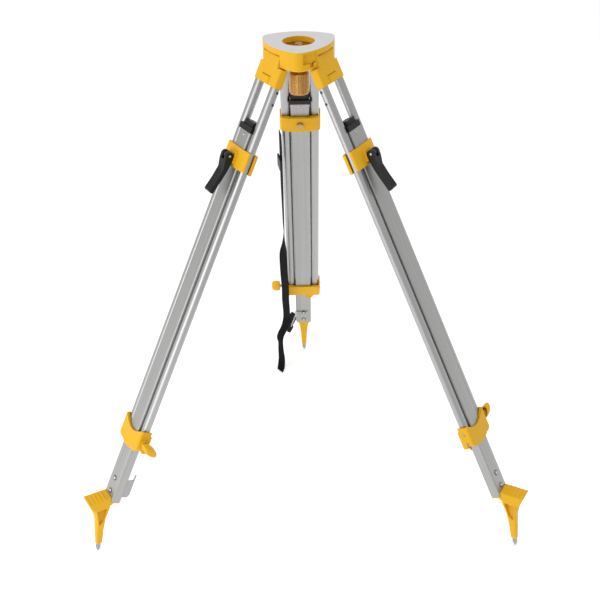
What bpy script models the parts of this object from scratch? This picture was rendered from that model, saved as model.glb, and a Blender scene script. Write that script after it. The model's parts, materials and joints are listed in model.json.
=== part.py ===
"""Aluminium surveyor's tripod with a flat head, quick clamps and wing-screw clamps on its sliding legs.

Metres, +Z up. The origin is the bottom centre of the whole tripod's box, with the feet at z = 0.
The head's axis is the empty "tripod_axis", and each leg hangs from an empty on its hinge pin.

Every leg piece is drawn in leg space: X points out of the leg's outer face, Y points along the hinge
(counter-clockwise seen from above), and Z points up the leg. Stations along the leg are distances down
from the level of the head's top, so a station s lies at z = -s.
"""
import math

import bmesh
import bpy
from mathutils import Matrix, Vector

# Head
HEAD_TOP = 1.0678            # height of the head's top above the foot tips
HEAD_WIDTH = 0.142           # constant width of the rounded triangle
HEAD_CORNER = 0.022
HEAD_HOLE = 0.032
PLATE_THICKNESS = 0.011
LUG_DEPTH = 0.038            # the corner lugs end this far below the top
LUG_EDGE = 0.003
SLOT_HALF = 0.030            # half the gap between two lugs, where a leg hinges
CORNER_AZIMUTHS = (270, 30, 150)
LEG_AZIMUTHS = {"back": 90, "left": 210, "right": 330}

# Hinges
PIN_RADIAL = 0.051
PIN_DROP = 0.024
PIN_RADIUS = 0.004
PIN_HALF = 0.0385
RUN_CLEARANCE = 0.0004       # radial gap of a moving fit
GAP = 0.0003                 # gap between pieces that touch

# Swing arm and fixing screw
ARM_AZIMUTH = 30
ARM_PIVOT = 0.055
ARM_TOP = LUG_DEPTH + 0.0004
ARM_THICKNESS = 0.004
ARM_REACH = -0.021           # centre of the arm's free end, past the head's axis
ARM_HALF = 0.013
ARM_EYE = 0.011
SCREW_TRAVEL = 0.009         # each way along the arm's slot
BUSH_RADIUS = 0.0085
BUSH_FLANGE = 0.012
NECK_RADIUS = 0.006
THREAD_RADIUS = 0.00794      # 5/8 inch screw
THREAD_TOP = 0.004
COLLAR_TOP = 0.0505
COLLAR_BOTTOM = 0.0570
COLLAR_RADIUS = 0.018
KNOB_TOP = 0.0574
KNOB_BOTTOM = 0.105
KNOB_RADIUS = 0.0208
KNOB_FLUTES = 12

# Legs
LEG_TILT = math.radians(25.9)
LEG_START = 0.0355           # radius of the leg's centre line at the level of the head's top
LEG_HALF = 0.0406            # half the width over both rails
RAIL_INNER = 0.0207          # rails start this far from the leg's centre plane
RAIL_HALF_DEPTH = 0.0085
RAIL_CORNER = 0.0080          # nearly oval tubes
RAIL_WALL = 0.0016
RAIL_END = 0.885
CAP_SHOULDER = 0.044
CAP_BOTTOM = 0.081
CAP_HALF_DEPTH = 0.0095
KNUCKLE_RADIUS = 0.0115
KNUCKLE_HALF = 0.0296
TONGUE_END = 0.124

# Sliding inner leg
INNER_HALF = 0.0202
INNER_HALF_DEPTH = 0.01125
INNER_CORNER = 0.0025
INNER_WALL = 0.0018
INNER_TOP = 0.181
INNER_END = 1.0403
GUIDE_TOP = 0.160
GUIDE_SHOULDER = 0.169
GUIDE_HALF = 0.0235
GUIDE_NECK_HALF = 0.0180
GUIDE_HALF_DEPTH = 0.0128

# Quick clamp, which rides on the inner leg and grips the rails
JAW_TOP = 0.215
JAW_BOTTOM = 0.2555
INNER_JAW_TOP = 0.218
INNER_JAW_BOTTOM = 0.259
INNER_JAW_THICKNESS = 0.006
BOLT_STATION = 0.237
BOLT_RADIUS = 0.004
LEVER_AXIS = 0.030           # distance of the lever's pin from the leg's centre plane
CAM_RADIUS = 0.009
CAM_RELEASE = 0.001          # the cam's radius falls by this much as the lever opens
LEVER_OPENING = math.radians(100)
LEVER_HALF = 0.012
EYE_HALF = 0.0038

# Lower clamp and wing screw
COLLAR_START = 0.849
COLLAR_END = 0.900
COLLAR_HALF = 0.0442
COLLAR_HALF_DEPTH = 0.0153
COLLAR_CORNER = 0.015        # radius of the outer face's lower corners
APRON_DROP = 0.005           # the outer face hangs this far below the collar's end
MOUTH_DIP = 0.016            # and its upper edge dips this far at the leg's centre
INNER_WALL_TOP = 0.862       # the wall on the inner side starts lower
WING_STATION = 0.8755
WING_BOSS_END = 0.048
WING_STUD_END = 0.0600
WING_HALF_LENGTH = 0.0205
WING_HALF_WIDTH = 0.0095
WING_REST = {"back": 0.0, "left": math.radians(60), "right": math.radians(30)}

# Foot
TIP_RADIAL = 0.539           # foot tips lie on this circle around the head's axis
CONE_LEAN = math.radians(10.1)
POINT_SHANK = 0.050
POINT_RADIUS = 0.0054
PADDLE_HALF = 0.0185

# Carrying strap
STRAP_WIDTH = 0.020
STRAP_THICKNESS = 0.0016
STRAP_SLANT = 0.008          # half the slant of its cut end
SLANT_LENGTH = 0.0150        # the strap's edges lead into that slant over this length
CLIP_RADIAL = 0.449          # the buckle hangs in an upright plane this far from the head's axis
CLIP_THICKNESS = 0.005

COLOURS = {
    "yellow_paint": ((0.80, 0.42, 0.03), 0.0, 0.38),
    "aluminium": ((0.72, 0.73, 0.74), 1.0, 0.35),
    "steel": ((0.62, 0.63, 0.65), 1.0, 0.25),
    "brass": ((0.72, 0.46, 0.18), 1.0, 0.30),
    "black_plastic": ((0.03, 0.03, 0.03), 0.0, 0.45),
    "webbing": ((0.02, 0.02, 0.02), 0.0, 0.85),
}


# ---------------------------------------------------------------- mesh helpers

def clear_scene():
    for item in list(bpy.data.objects):
        bpy.data.objects.remove(item, do_unlink=True)


def loft(rings, closed=False):
    """A skin through rings of equally many points, capped at both ends or closed on itself."""
    bm = bmesh.new()
    rows = [[bm.verts.new(point) for point in ring] for ring in rings]
    pairs = list(zip(rows, rows[1:]))
    if closed:
        pairs.append((rows[-1], rows[0]))
    for low, high in pairs:
        for index in range(len(low)):
            after = (index + 1) % len(low)
            bm.faces.new((low[index], low[after], high[after], high[index]))
    if not closed:
        bm.faces.new(rows[0])
        bm.faces.new(rows[-1])
    bmesh.ops.recalc_face_normals(bm, faces=bm.faces)
    return bm


def along_leg(outline, start, end):
    """Extrudes an outline of (x, y) points between two stations."""
    return loft([[(x, y, -station) for x, y in outline] for station in (start, end)])


def across_leg(outline, low, high):
    """Extrudes an outline of (x, station) points along the hinge's direction."""
    return loft([[(x, side, -station) for x, station in outline] for side in (low, high)])


def through_leg(outline, low, high):
    """Extrudes an outline of (y, station) points along the leg's depth."""
    return loft([[(x, y, -station) for y, station in outline] for x in (low, high)])


def upright_prism(outline, low, high):
    """Extrudes an outline of (x, y) points between two heights."""
    return loft([[(x, y, height) for x, y in outline] for height in (low, high)])


def box(low, high):
    corners = [(low[0], low[1]), (high[0], low[1]), (high[0], high[1]), (low[0], high[1])]
    return upright_prism(corners, low[2], high[2])


def rod(radius, start, end, segments=12):
    """A cylinder between two points."""
    start = Vector(start)
    direction = Vector(end) - start
    bm = bmesh.new()
    turn = direction.to_track_quat("Z", "Y").to_matrix().to_4x4()
    place = Matrix.Translation(start + direction / 2) @ turn
    bmesh.ops.create_cone(bm, cap_ends=True, segments=segments, radius1=radius, radius2=radius,
                          depth=direction.length, matrix=place)
    return bm


def turned(profile, segments=24, closed=False):
    """Turns (radius, z) points about the Z axis; a closed profile has an open bore."""
    rings = []
    for radius, height in profile:
        turn = [math.tau * index / segments for index in range(segments)]
        rings.append([(radius * math.cos(a), radius * math.sin(a), height) for a in turn])
    return loft(rings, closed)


def arc(centre, radius, start, end, steps):
    """Points of an arc, with its angles in degrees."""
    points = []
    for index in range(steps + 1):
        angle = math.radians(start + (end - start) * index / steps)
        points.append((centre[0] + radius * math.cos(angle), centre[1] + radius * math.sin(angle)))
    return points


def rounded_box(half_x, half_y, corner, steps=3):
    points = []
    for quarter, (sx, sy) in enumerate(((1, 1), (-1, 1), (-1, -1), (1, -1))):
        centre = (sx * (half_x - corner), sy * (half_y - corner))
        points += arc(centre, corner, 90 * quarter, 90 * quarter + 90, steps)
    return points


def to_mesh(name, bm):
    mesh = bpy.data.meshes.new(name)
    bm.to_mesh(mesh)
    bm.free()
    return mesh


def carved(base, hollow):
    """A bmesh of the base with one solid cut away, for work that goes on after the cut."""
    mesh = carve("carved", base, cut=[hollow])
    bm = bmesh.new()
    bm.from_mesh(mesh)
    return bm


def carve(name, base, add=(), cut=()):
    """Adds and cuts solids with exact Booleans and returns the resulting mesh."""
    base_object = bpy.data.objects.new("carve_base", to_mesh(name, base))
    bpy.context.scene.collection.objects.link(base_object)
    tools = []
    for operation, solids in (("UNION", add), ("DIFFERENCE", cut)):
        for solid in solids:
            tool = bpy.data.objects.new("carve_tool", to_mesh("tool", solid))
            bpy.context.scene.collection.objects.link(tool)
            modifier = base_object.modifiers.new(operation, "BOOLEAN")
            modifier.operation = operation
            modifier.object = tool
            tools.append(tool)
    graph = bpy.context.evaluated_depsgraph_get()
    mesh = bpy.data.meshes.new_from_object(base_object.evaluated_get(graph))
    mesh.name = name
    for item in tools + [base_object]:
        bpy.data.objects.remove(item, do_unlink=True)
    return mesh


# ---------------------------------------------------------------- placing pieces

def make_material(name):
    colour, metallic, roughness = COLOURS[name]
    material = bpy.data.materials.new(name)
    material.use_nodes = True
    shader = material.node_tree.nodes["Principled BSDF"]
    shader.inputs["Base Color"].default_value = (*colour, 1.0)
    shader.inputs["Metallic"].default_value = metallic
    shader.inputs["Roughness"].default_value = roughness
    return material


def make_empty(name, parent=None, location=(0, 0, 0), rotation=(0, 0, 0)):
    empty = bpy.data.objects.new(name, None)
    bpy.context.scene.collection.objects.link(empty)
    empty.parent = parent
    empty.location = location
    empty.rotation_euler = rotation
    return empty


def place(name, mesh, material, parent, location=(0, 0, 0)):
    """Links an object that shares the mesh, with its own material in its first slot."""
    item = bpy.data.objects.new(name, mesh)
    bpy.context.scene.collection.objects.link(item)
    item.parent = parent
    item.location = location
    if not mesh.materials:
        mesh.materials.append(None)
        mesh.shade_smooth()
        mesh.set_sharp_from_angle(angle=math.radians(35))
    item.material_slots[0].link = "OBJECT"
    item.material_slots[0].material = make_material(material)
    return item


def leg_point(radial, height):
    """Leg coordinates (x, station) of a point in the leg's own vertical plane at rest."""
    out = radial - LEG_START
    down = HEAD_TOP - height
    x = out * math.cos(LEG_TILT) - down * math.sin(LEG_TILT)
    station = out * math.sin(LEG_TILT) + down * math.cos(LEG_TILT)
    return x, station


PIN_X, PIN_STATION = leg_point(PIN_RADIAL, HEAD_TOP - PIN_DROP)


# ---------------------------------------------------------------- head

def head_outline(width, corner, steps=6):
    """A rounded triangle of constant width, with its corners at CORNER_AZIMUTHS."""
    reach = (width - 2 * corner) / math.sqrt(3)
    centres = {}
    for azimuth in CORNER_AZIMUTHS:
        angle = math.radians(azimuth)
        centres[azimuth] = (reach * math.cos(angle), reach * math.sin(angle))
    points = []
    for azimuth in (30, 150, 270):
        opposite = centres[(azimuth + 240) % 360]
        points += arc(centres[azimuth], corner, azimuth - 30, azimuth + 30, steps)[:-1]
        points += arc(opposite, width - corner, azimuth + 30, azimuth + 90, steps + 2)[:-1]
    return points


def turn_about_axis(bm, azimuth):
    bmesh.ops.rotate(bm, verts=bm.verts, cent=(0, 0, 0),
                     matrix=Matrix.Rotation(math.radians(azimuth), 3, "Z"))
    return bm


def tripod_head():
    full = head_outline(HEAD_WIDTH, HEAD_CORNER)
    small = head_outline(HEAD_WIDTH - 2 * LUG_EDGE, HEAD_CORNER - LUG_EDGE)
    body = loft([
        [(x, y, 0.0) for x, y in full],
        [(x, y, LUG_EDGE - LUG_DEPTH) for x, y in full],
        [(x, y, -LUG_DEPTH) for x, y in small],
    ])
    cuts = [rod(HEAD_HOLE, (0, 0, 0.01), (0, 0, -0.06), 40)]
    for azimuth in LEG_AZIMUTHS.values():
        slot = box((0.0, -SLOT_HALF, -0.06), (0.1, SLOT_HALF, -PLATE_THICKNESS))
        cuts.append(turn_about_axis(slot, azimuth))
        bore = rod(PIN_RADIUS + GAP, (PIN_RADIAL, -PIN_HALF - GAP, -PIN_DROP),
                   (PIN_RADIAL, PIN_HALF + GAP, -PIN_DROP))
        cuts.append(turn_about_axis(bore, azimuth))
    pivot = rod(0.0033, (ARM_PIVOT, 0, -0.06), (ARM_PIVOT, 0, -0.0265))
    cuts.append(turn_about_axis(pivot, ARM_AZIMUTH))
    return carve("tripod_head", body, cut=cuts)


def hinge_pin():
    return to_mesh("hinge_pin", rod(PIN_RADIUS, (0, -PIN_HALF, 0), (0, PIN_HALF, 0)))


def arm_pivot_screw():
    under = -(ARM_TOP + ARM_THICKNESS + GAP)
    return turned([(0.003, -0.027), (0.003, under), (0.0065, under), (0.0065, under - 0.003)], 12)


def swing_arm():
    """A flat bar along X, pivoting at the arm's local origin, with a slot under the head's hole."""
    end = ARM_REACH - ARM_PIVOT
    outline = arc((0, 0), ARM_EYE, -90, 90, 8) + arc((end, 0), ARM_HALF, 90, 270, 8)
    body = upright_prism(outline, -ARM_TOP - ARM_THICKNESS, -ARM_TOP)
    reach = SCREW_TRAVEL + GAP
    half = BUSH_RADIUS + GAP
    slot = arc((reach - ARM_PIVOT, 0), half, -90, 90, 6) + arc((-reach - ARM_PIVOT, 0), half, 90, 270, 6)
    cuts = [upright_prism(slot, -0.06, -0.03), rod(0.0033, (0, 0, -0.06), (0, 0, -0.03))]
    return carve("swing_arm", body, cut=cuts)


def screw_bush():
    """A flanged bush that slides in the arm's slot and carries the fixing screw."""
    bore = NECK_RADIUS + RUN_CLEARANCE
    top = -ARM_TOP + GAP
    bottom = -ARM_TOP - ARM_THICKNESS - GAP
    profile = [(bore, top + 0.002), (BUSH_FLANGE, top + 0.002), (BUSH_FLANGE, top), (BUSH_RADIUS, top),
               (BUSH_RADIUS, bottom), (BUSH_FLANGE, bottom), (BUSH_FLANGE, bottom - 0.002),
               (bore, bottom - 0.002)]
    return to_mesh("screw_bush", turned(profile, 16, closed=True))


def fixing_stud():
    shoulder = -(ARM_TOP - 0.0028)
    profile = [(THREAD_RADIUS - 0.0015, -THREAD_TOP), (THREAD_RADIUS, -THREAD_TOP - 0.0015),
               (THREAD_RADIUS, shoulder), (NECK_RADIUS, shoulder), (NECK_RADIUS, -COLLAR_TOP),
               (COLLAR_RADIUS - 0.001, -COLLAR_TOP), (COLLAR_RADIUS, -COLLAR_TOP - 0.001),
               (COLLAR_RADIUS, -COLLAR_BOTTOM), (NECK_RADIUS, -COLLAR_BOTTOM), (NECK_RADIUS, -0.090)]
    return to_mesh("fixing_stud", turned(profile, 20))


def flute_ring(scale, height):
    """A ring of the knob's fluted outline: each flute is a flat with a narrow groove beside it."""
    points = []
    for index in range(KNOB_FLUTES * 3):
        radius = KNOB_RADIUS * scale
        if index % 3 == 2:
            radius -= 0.0009 * scale
        angle = math.tau * index / (KNOB_FLUTES * 3)
        points.append((radius * math.cos(angle), radius * math.sin(angle), height))
    return points


def fixing_knob():
    count = KNOB_FLUTES * 3
    turn = [math.tau * index / count for index in range(count)]
    bore = NECK_RADIUS + GAP

    def bore_ring(height):
        return [(bore * math.cos(a), bore * math.sin(a), height) for a in turn]

    rings = [bore_ring(-0.0905), bore_ring(-KNOB_TOP), flute_ring(0.80, -KNOB_TOP),
             flute_ring(1.0, -KNOB_TOP - 0.004), flute_ring(1.0, -KNOB_BOTTOM + 0.003),
             flute_ring(0.92, -KNOB_BOTTOM)]
    return to_mesh("fixing_knob", loft(rings))


# ---------------------------------------------------------------- upper leg

def leg_cap():
    block = along_leg(rounded_box(CAP_HALF_DEPTH, LEG_HALF + 0.0008, 0.0045), CAP_SHOULDER, CAP_BOTTOM)
    front = CAP_HALF_DEPTH
    back = -CAP_HALF_DEPTH
    outline = [(front, CAP_SHOULDER + 0.006)]
    outline += [(PIN_X - x, PIN_STATION - y) for x, y in arc((0, 0), KNUCKLE_RADIUS, 160, 20, 8)]
    outline += [(back, PIN_STATION + 0.006), (back, CAP_SHOULDER + 0.006)]
    adds = [across_leg(outline, -KNUCKLE_HALF, KNUCKLE_HALF)]
    inside = RAIL_INNER + RAIL_WALL + 0.0004
    outside = LEG_HALF - RAIL_WALL - 0.0004
    depth = RAIL_HALF_DEPTH - RAIL_WALL - 0.0004
    cuts = [rod(PIN_RADIUS + RUN_CLEARANCE, (PIN_X, -0.04, -PIN_STATION), (PIN_X, 0.04, -PIN_STATION))]
    for side in (-1, 1):
        low, high = sorted((side * inside, side * outside))
        tongue = rounded_box(depth, (high - low) / 2, RAIL_CORNER - RAIL_WALL - 0.0004)
        adds.append(along_leg([(x, y + (low + high) / 2) for x, y in tongue],
                              CAP_BOTTOM - 0.002, TONGUE_END))
    return carve("leg_cap", block, add=adds, cut=cuts)


def hollow_along_leg(outer, inner, start, end):
    rings = [[(x, y, -start) for x, y in outer], [(x, y, -end) for x, y in outer],
             [(x, y, -end) for x, y in inner], [(x, y, -start) for x, y in inner]]
    return loft(rings, closed=True)


def rail(side):
    """One rail of a leg; the one on the +Y side is drilled for the wing screw."""
    centre = side * (LEG_HALF + RAIL_INNER) / 2
    half = (LEG_HALF - RAIL_INNER) / 2
    rings = []
    for wall in (0.0, RAIL_WALL):
        outline = rounded_box(RAIL_HALF_DEPTH - wall, half - wall, RAIL_CORNER - wall, 6)
        rings.append([(x, y + centre) for x, y in outline])
    body = hollow_along_leg(*rings, CAP_BOTTOM + GAP, RAIL_END)
    if side < 0:
        return to_mesh("rail", body)
    stud_hole = rod(0.0046, (0, 0.012, -WING_STATION), (0, 0.05, -WING_STATION))
    return carve("rail", body, cut=[stud_hole])


def bow(half, station, depth, steps=10):
    """Points of a shallow curve between -half and half that bulges down the leg by a depth."""
    points = []
    for index in range(steps + 1):
        y = half * (2 * index / steps - 1)
        points.append((y, station + depth * math.cos(math.pi / 2 * y / half)))
    return points


def lower_clamp():
    """The collar on the rails' lower ends, which guides the inner leg and holds the wing screw."""
    body = along_leg(rounded_box(COLLAR_HALF_DEPTH, COLLAR_HALF, 0.006), COLLAR_START, COLLAR_END)
    boss = rod(0.0085, (0, 0.040, -WING_STATION), (0, WING_BOSS_END, -WING_STATION), 16)
    lug = [(0.002, COLLAR_END - 0.004), (0.0165, COLLAR_END + 0.020), (0.031, COLLAR_END - 0.004)]
    tip = loft([[(x, -y, -s) for y, s in lug] for x in (-0.0149, -0.0120)])
    apron = through_leg(bow(COLLAR_HALF - COLLAR_CORNER, COLLAR_END - 0.002, APRON_DROP + 0.002),
                        0.0120, COLLAR_HALF_DEPTH - 0.0001)
    mouth = bow(COLLAR_HALF - 0.004, COLLAR_START - 0.001, MOUTH_DIP + 0.001)
    cuts = [box((-0.0089, -0.0410, -RAIL_END - GAP), (0.0089, 0.0410, -0.83)),
            box((-0.0117, -0.0206, -0.93), (0.0117, 0.0206, -0.83)),
            rod(0.0044, (0, 0.035, -WING_STATION), (0, 0.07, -WING_STATION)),
            box((-0.0200, -0.0500, -INNER_WALL_TOP), (-0.0089, 0.0500, -0.83)),
            through_leg(mouth, 0.0080, 0.0200)]
    for side in (-1, 1):
        centre = (COLLAR_HALF - COLLAR_CORNER, COLLAR_END - COLLAR_CORNER)
        corner = arc(centre, COLLAR_CORNER, 0, 90, 5)
        corner += [(centre[0], COLLAR_END + 0.002), (COLLAR_HALF + 0.002, COLLAR_END + 0.002),
                   (COLLAR_HALF + 0.002, centre[1])]
        cuts.append(through_leg([(side * y, station) for y, station in corner], -0.0020, 0.0118))
        cuts.append(through_leg([(side * y, station) for y, station in corner], 0.0117, 0.0200))
    return carve("lower_clamp", body, add=[boss, tip, apron], cut=cuts)


def wing_stud():
    return to_mesh("wing_stud", rod(0.004, (0, 0.0206, 0), (0, WING_STUD_END, 0)))


# The knob's rings: (distance from the leg's centre plane, scale of its leaf-shaped outline).
WING_ROWS = ((0.0620, 0.90), (0.0640, 0.98), (0.0700, 1.00), (0.0770, 0.95), (0.0810, 0.80), (0.0830, 0.50))


def wing_ring(y, scale, steps=24):
    """A leaf-shaped ring around the screw's axis, long along Z."""
    points = []
    for index in range(steps):
        angle = math.tau * index / steps
        across = math.sin(angle) * abs(math.sin(angle)) ** 0.25
        points.append((scale * WING_HALF_WIDTH * across, y, scale * WING_HALF_LENGTH * math.cos(angle)))
    return points


def wing_knob():
    """A leaf-shaped grip across the screw's axis, hollow towards the leg, with a hub for the screw."""
    dish = loft([wing_ring(y, scale) for y, scale in WING_ROWS])
    hollow = loft([wing_ring(y, 0.80) for y in (0.0610, 0.0740)])
    hub = rod(0.0058, (0, WING_STUD_END + GAP, 0), (0, 0.0750, 0))
    return carve("wing_knob", carved(dish, hollow), add=[hub])


# ---------------------------------------------------------------- inner leg

def inner_leg():
    rings = [rounded_box(INNER_HALF_DEPTH - wall, INNER_HALF - wall, corner, 2)
             for wall, corner in ((0.0, INNER_CORNER), (INNER_WALL, INNER_CORNER - INNER_WALL))]
    body = hollow_along_leg(*rings, INNER_TOP, INNER_END)
    bolt_hole = rod(BOLT_RADIUS + GAP, (-0.02, 0, -BOLT_STATION), (0.02, 0, -BOLT_STATION))
    return carve("inner_leg", body, cut=[bolt_hole])


def guide_outline():
    """The slider's section: a core between the rails, with flanges on both faces of the rails."""
    run = RAIL_HALF_DEPTH + RUN_CLEARANCE
    core = INNER_HALF + 0.0001
    quarter = [(run, core), (run, GUIDE_HALF), (GUIDE_HALF_DEPTH, GUIDE_HALF)]
    outline = []
    for sx, sy in ((1, 1), (1, -1), (-1, -1), (-1, 1)):
        corner = [(sx * x, sy * y) for x, y in quarter]
        outline += corner if sx * sy > 0 else corner[::-1]
    return outline


def guide_block():
    """The plastic slider on the inner leg's top end, with a narrower neck above its flanges."""
    body = along_leg(guide_outline(), GUIDE_SHOULDER, INNER_TOP - GAP)
    neck = along_leg(rounded_box(0.0100, GUIDE_NECK_HALF, 0.004), GUIDE_TOP, GUIDE_SHOULDER + 0.001)
    plug = along_leg(rounded_box(0.009, 0.0148, 0.001, 1), INNER_TOP - 0.002, INNER_TOP + 0.015)
    return carve("guide_block", body, add=[neck, plug])


def jaw_outline(side, lip, rail_face, leg_face, thickness):
    """A jaw's cross-section on one face of the leg (side +1 is the outer face)."""
    outer_y = LEG_HALF + 0.0029
    inner_y = LEG_HALF + GAP
    step = RAIL_INNER + 0.0003
    top = leg_face + thickness
    half = [(lip, inner_y), (lip, outer_y), (rail_face + 0.0008, outer_y), (top - 0.003, 0.0395),
            (top, 0.024)]
    inside = [(leg_face, -step), (rail_face, -step), (rail_face, -inner_y)]
    left = [(x, -y) for x, y in half]
    outline = half + left[::-1] + inside[::-1][0:1] + [(rail_face, -step), (leg_face, -step)]
    outline += [(leg_face, step), (rail_face, step), (rail_face, inner_y)]
    return [(side * x, y) for x, y in outline]


def clamp_jaw_outer():
    rail_face = RAIL_HALF_DEPTH + GAP
    leg_face = INNER_HALF_DEPTH + GAP
    body = along_leg(jaw_outline(1, 0.0055, rail_face, leg_face, 0.004), JAW_TOP, JAW_BOTTOM)
    seat = LEVER_AXIS - CAM_RADIUS - GAP
    boss = box((leg_face + 0.002, -LEVER_HALF - 0.001, -BOLT_STATION - 0.012),
               (seat, LEVER_HALF + 0.001, -BOLT_STATION + 0.012))
    hole = rod(EYE_HALF + 0.0012, (0, 0, -BOLT_STATION), (0.04, 0, -BOLT_STATION), 16)
    return carve("clamp_jaw_outer", body, add=[boss], cut=[hole])


def clamp_jaw_inner():
    rail_face = RAIL_HALF_DEPTH + GAP
    leg_face = INNER_HALF_DEPTH + GAP
    body = along_leg(jaw_outline(-1, 0.0050, rail_face, leg_face, INNER_JAW_THICKNESS),
                     INNER_JAW_TOP, INNER_JAW_BOTTOM)
    hole = rod(BOLT_RADIUS + GAP, (-0.04, 0, -BOLT_STATION), (0, 0, -BOLT_STATION))
    return carve("clamp_jaw_inner", body, cut=[hole])


def clamp_bolt():
    """Hex-headed eye bolt: the head bears on the inner jaw, and the eye takes the lever's pin."""
    face = -(INNER_HALF_DEPTH + GAP + INNER_JAW_THICKNESS + GAP)
    shank = rod(BOLT_RADIUS, (face - 0.001, 0, -BOLT_STATION), (0.022, 0, -BOLT_STATION))
    head = rod(0.0075, (face - 0.0053, 0, -BOLT_STATION), (face, 0, -BOLT_STATION), 6)
    eye = rod(0.0066, (LEVER_AXIS, -EYE_HALF, -BOLT_STATION), (LEVER_AXIS, EYE_HALF, -BOLT_STATION), 16)
    hole = rod(0.0026 + GAP, (LEVER_AXIS, -0.02, -BOLT_STATION), (LEVER_AXIS, 0.02, -BOLT_STATION), 12)
    neck = rod(BOLT_RADIUS, (0.0215, 0, -BOLT_STATION), (0.0260, 0, -BOLT_STATION))
    return carve("clamp_bolt", shank, add=[head, eye, neck], cut=[hole])


def lever_pin():
    return to_mesh("lever_pin", rod(0.0026, (LEVER_AXIS, -LEVER_HALF - 0.0004, -BOLT_STATION),
                                    (LEVER_AXIS, LEVER_HALF + 0.0004, -BOLT_STATION), 12))


def lever_profile():
    """The lever's side view about its pin: a spiral cam head, then a handle kinked away from the leg.

    Points are (x, z) with x out of the leg and z up the leg; the cam faces -X when closed.
    """
    points = []
    steps = 14
    for index in range(steps + 1):
        angle = math.radians(185) - math.radians(195) * index / steps
        opened = min(max((math.pi - angle) / LEVER_OPENING, 0.0), 1.0)
        radius = CAM_RADIUS - CAM_RELEASE * opened
        points.append((radius * math.cos(angle), radius * math.sin(angle)))
    points += [(0.0075, -0.010), (0.0035, -0.028), (0.0085, -0.052), (0.0158, -0.078), (0.0130, -0.081),
               (0.0070, -0.0815), (-0.0005, -0.054), (-0.0060, -0.032), (-0.0090, -0.012)]
    return points


def clamp_lever():
    body = loft([[(x, side, z) for x, z in lever_profile()] for side in (-LEVER_HALF, LEVER_HALF)])
    slot = box((-0.02, -EYE_HALF - 0.0007, -0.0095), (0.02, EYE_HALF + 0.0007, 0.02))
    hole = rod(0.0026 + RUN_CLEARANCE, (0, -0.02, 0), (0, 0.02, 0))
    return carve("clamp_lever", body, cut=[slot, hole])


# The web under the step: (height, inner edge and outer edge measured from the tip, half width).
WEB_ROWS = (
    (0.0216, -0.0103, 0.0025, 0.0064), (0.0600, -0.0182, -0.0012, 0.0083),
    (0.0860, -0.0250, -0.0040, 0.0104), (0.1020, -0.0308, -0.0030, 0.0135),
    (0.1180, -0.0368, 0.0000, 0.0172), (0.1300, -0.0400, 0.0045, 0.0184),
)
# The pocket in each side of the web: (distance outside the tip, height).
WEB_POCKET = ((-0.0310, 0.1210), (-0.0070, 0.1210), (-0.0095, 0.0740), (-0.0200, 0.0840))
WEB_CORE_HALF = 0.0045


def foot():
    """Cast foot: a tongue inside the inner leg, a step on the outer side and a web down to the point."""
    def point(out, height):
        return leg_point(TIP_RADIAL + out, height)

    end = INNER_END + GAP
    face = INNER_HALF_DEPTH + GAP
    step = [(face, 1.031), (face, end), (-0.0112, end), (-0.0112, end + 0.0035), (0.0030, end + 0.0035),
            point(-0.0400, 0.1270), point(-0.0010, 0.1230), point(0.0060, 0.1350), point(0.0095, 0.1465)]
    body = across_leg(step, -PADDLE_HALF, PADDLE_HALF)
    rings = []
    for height, inner, outer, half in WEB_ROWS:
        ring = []
        for out, side in ((inner, -half * 0.85), (inner, half * 0.85), (inner * 0.85 + outer * 0.15, half),
                          (inner * 0.15 + outer * 0.85, half), (outer, half * 0.6), (outer, -half * 0.6),
                          (inner * 0.15 + outer * 0.85, -half), (inner * 0.85 + outer * 0.15, -half)):
            x, station = point(out, height)
            ring.append((x, side, -station))
        rings.append(ring)
    web = loft(rings)
    tongue = along_leg(rounded_box(0.0090, 0.0148, 0.001, 1), 0.980, end + 0.002)
    cuts = [point_solid(POINT_RADIUS + GAP, POINT_SHANK + GAP, False)]
    pocket = [point(out, height) for out, height in WEB_POCKET]
    for low, high in ((-0.03, -WEB_CORE_HALF), (WEB_CORE_HALF, 0.03)):
        cuts.append(across_leg(pocket, low, high))
    return carve("foot", body, add=[web, tongue], cut=cuts)


def point_solid(radius, length, pointed=True):
    """The foot's steel point as a turned solid, from the tip up along the spike's leaning axis."""
    tip_x, tip_station = leg_point(TIP_RADIAL, 0.0)
    profile = [(0.0012, 0.0), (radius, 0.0095)] if pointed else [(radius, 0.0)]
    bm = turned(profile + [(radius, length)], 12)
    tilt = LEG_TILT - CONE_LEAN
    matrix = Matrix.Translation((tip_x, 0, -tip_station)) @ Matrix.Rotation(tilt, 4, "Y")
    bmesh.ops.transform(bm, matrix=matrix, verts=bm.verts)
    return bm


def foot_point():
    return to_mesh("foot_point", point_solid(POINT_RADIUS, POINT_SHANK))


def transport_hook():
    """Bent sheet-metal hook on the left leg's inner face, which catches the folded legs."""
    back = -(INNER_HALF_DEPTH + GAP)
    flange = box((back - 0.0016, 0.003, -1.028), (back, 0.0182, -0.985))
    outline = [(back, 0.985), (-0.0240, 0.983), (-0.0250, 0.970), (-0.0275, 0.970), (-0.0275, 1.020),
               (-0.0235, 1.028), (back, 1.028)]
    blade = across_leg(outline, 0.0166, 0.0182)
    return carve("transport_hook", flange, add=[blade])


# ---------------------------------------------------------------- strap

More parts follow.
